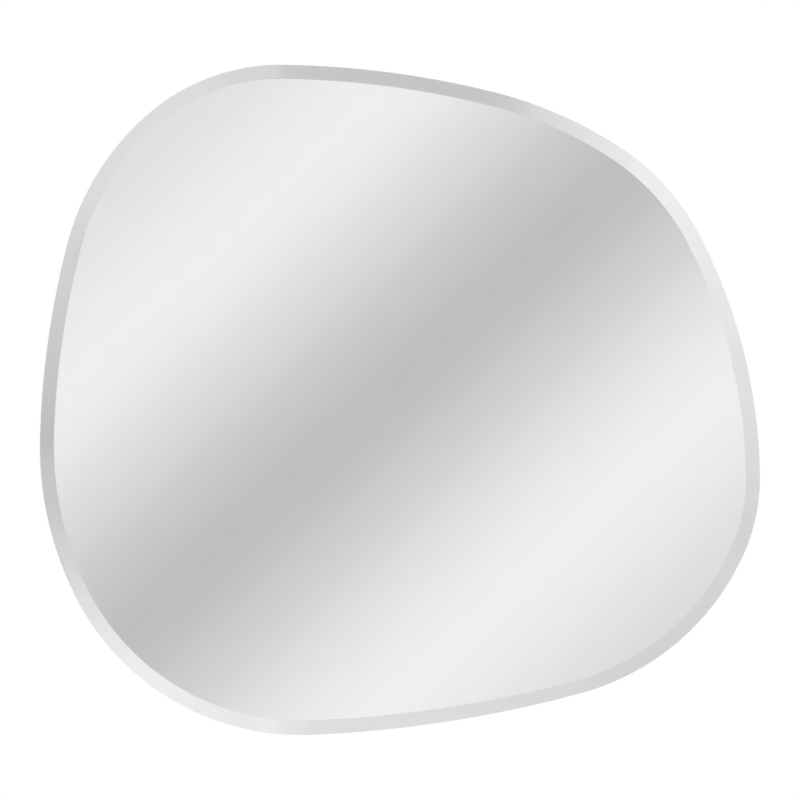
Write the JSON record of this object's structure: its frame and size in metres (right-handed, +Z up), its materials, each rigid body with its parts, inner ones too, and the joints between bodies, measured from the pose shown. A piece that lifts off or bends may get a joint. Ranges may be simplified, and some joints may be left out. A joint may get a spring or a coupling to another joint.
{
  "type": "irregular wall mirror",
  "caption": "Frameless wall mirror with a free, rounded outline, a bevelled edge, bonded keyhole hanger plates, eccentric height discs, wall screws and plugs, and low bumpers.",
  "frame": {"origin": "on the wall plane, midway between the two wall screws", "axes": "+X to the right seen from the front, +Y into the wall (the mirror faces -Y), +Z up"},
  "size_m": [0.6499, 0.0566, 0.605],
  "materials": {
    "float_glass": "polished, bevel ground and polished",
    "silver": "mirror",
    "back_paint": "satin paint",
    "vinyl_film": "fine embossed",
    "plate_steel": "zinc plated",
    "foam_tape": "closed-cell foam",
    "disc_nylon": "moulded",
    "screw_steel": "zinc plated",
    "plug_nylon": "moulded",
    "bumper_rubber": "matte",
    "adhesive": "soft"
  },
  "bodies": {
    "wall_fixings": {"wall_screw_left": "screw_steel", "wall_screw_right": "screw_steel", "wall_plug_left": "plug_nylon", "wall_plug_right": "plug_nylon"},
    "left_adjuster": {"height_adjuster_left": "disc_nylon"},
    "right_adjuster": {"height_adjuster_right": "disc_nylon"},
    "mirror": {"glass_pane": "float_glass", "silver_coating": "silver", "protective_paint": "back_paint", "safety_film": "vinyl_film", "hanger_plate_left": "plate_steel", "hanger_plate_right": "plate_steel", "hanger_tape_left_a": "foam_tape", "hanger_tape_left_b": "foam_tape", "hanger_tape_right_a": "foam_tape", "hanger_tape_right_b": "foam_tape", "bumper_left": "bumper_rubber", "bumper_right": "bumper_rubber", "bumper_adhesive_left": "adhesive", "bumper_adhesive_right": "adhesive"}
  },
  "joints": [
    {"name": "left_adjuster_turn", "type": "hinge", "parent": "wall_fixings", "child": "left_adjuster", "pos_m": [-0.18, -0.0034, 0], "axis": [0, 1, 0], "continuous": true},
    {"name": "right_adjuster_turn", "type": "hinge", "parent": "wall_fixings", "child": "right_adjuster", "pos_m": [0.18, -0.0034, 0], "axis": [0, 1, 0], "continuous": true},
    {"name": "mirror_lift", "type": "slide", "parent": "wall_fixings", "child": "mirror", "axis": [0, 0, 1], "range_m": [0, 0.016]}
  ]
}
